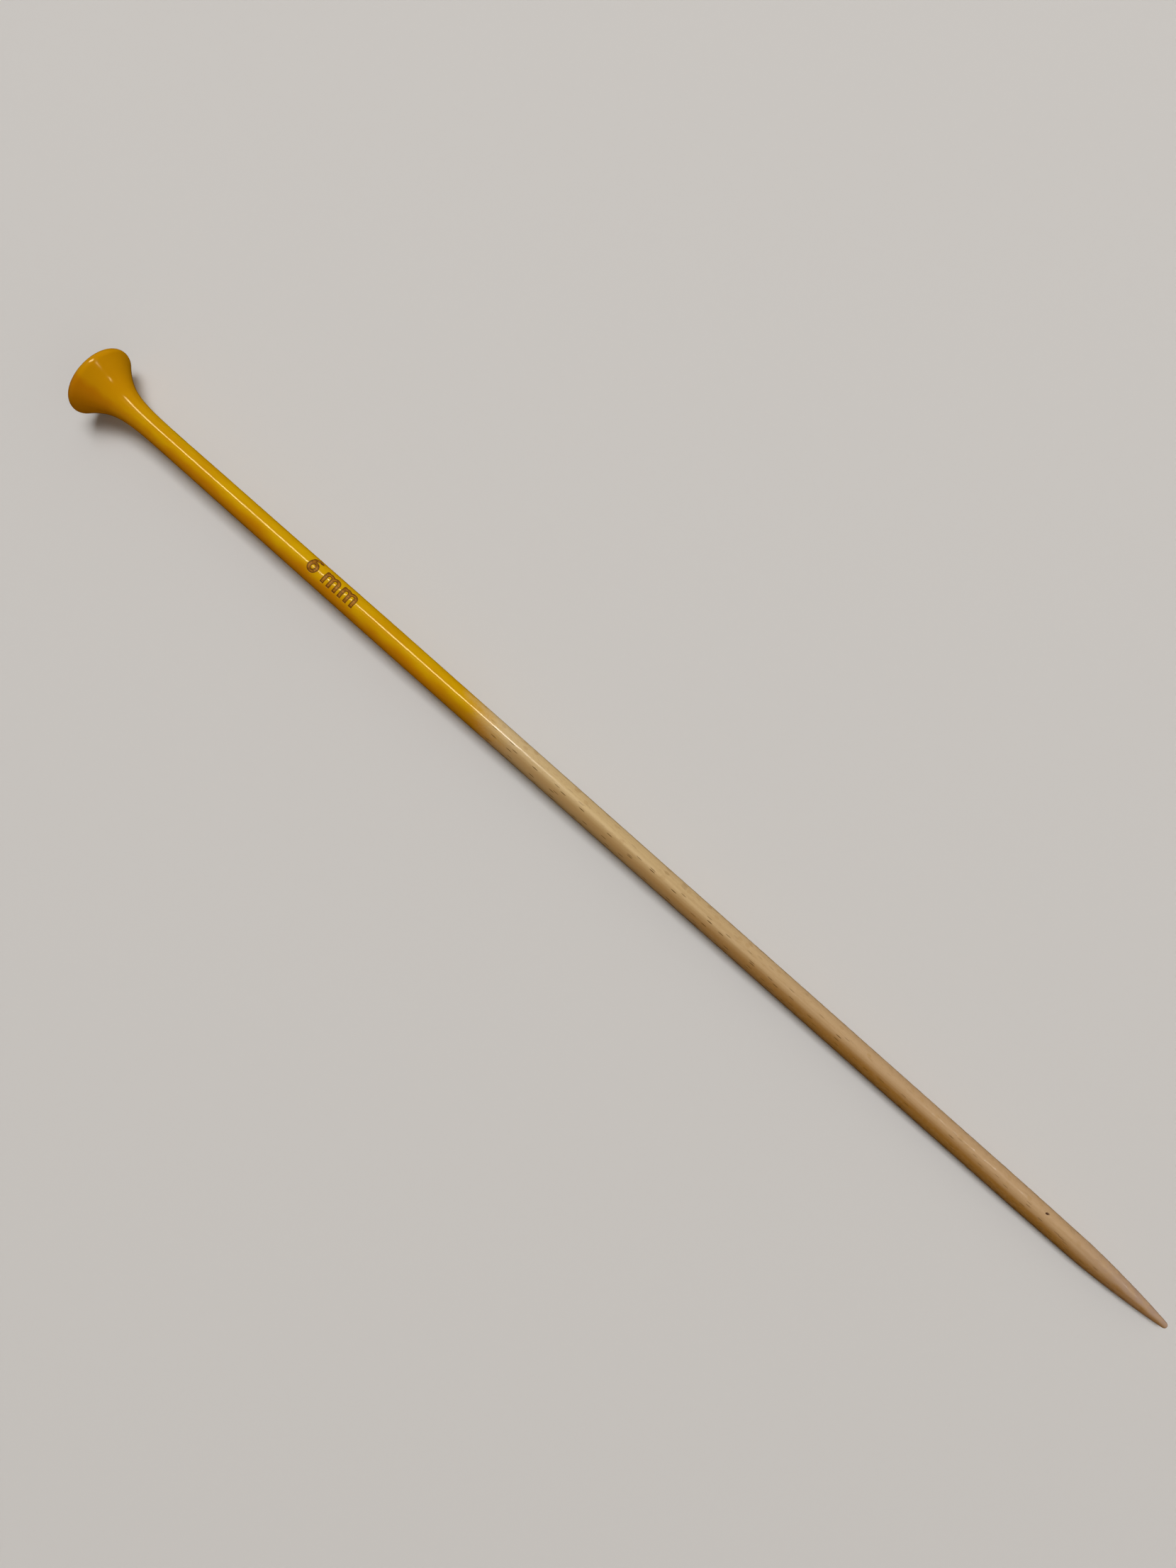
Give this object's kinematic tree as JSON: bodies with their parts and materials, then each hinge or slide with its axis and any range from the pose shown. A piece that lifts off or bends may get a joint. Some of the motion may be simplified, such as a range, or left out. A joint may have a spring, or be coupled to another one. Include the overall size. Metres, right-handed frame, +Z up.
{
  "type": "knitting needle",
  "caption": "Straight single-pointed knitting needle: a beech rod with a tapered point and a flared, lacquered stopper head glued on its other end.",
  "frame": {"origin": "on the surface that the needle lies on, at the middle of its length and width", "axes": "+X along the needle towards its tip, +Z up; the axis falls 1.08 degrees towards the tip, because the needle lies on its rim and its point"},
  "size_m": [0.33, 0.017, 0.0171],
  "materials": {
    "beech": "clear varnish, satin; yellow lacquer sprayed over the head end fades out along the shaft",
    "yellow_lacquer": "opaque yellow lacquer, glossy",
    "wood_glue": "cured white wood glue"
  },
  "bodies": {
    "root": {"shaft": "beech", "head": "yellow_lacquer", "glue_film": "wood_glue"}
  },
  "joints": []
}
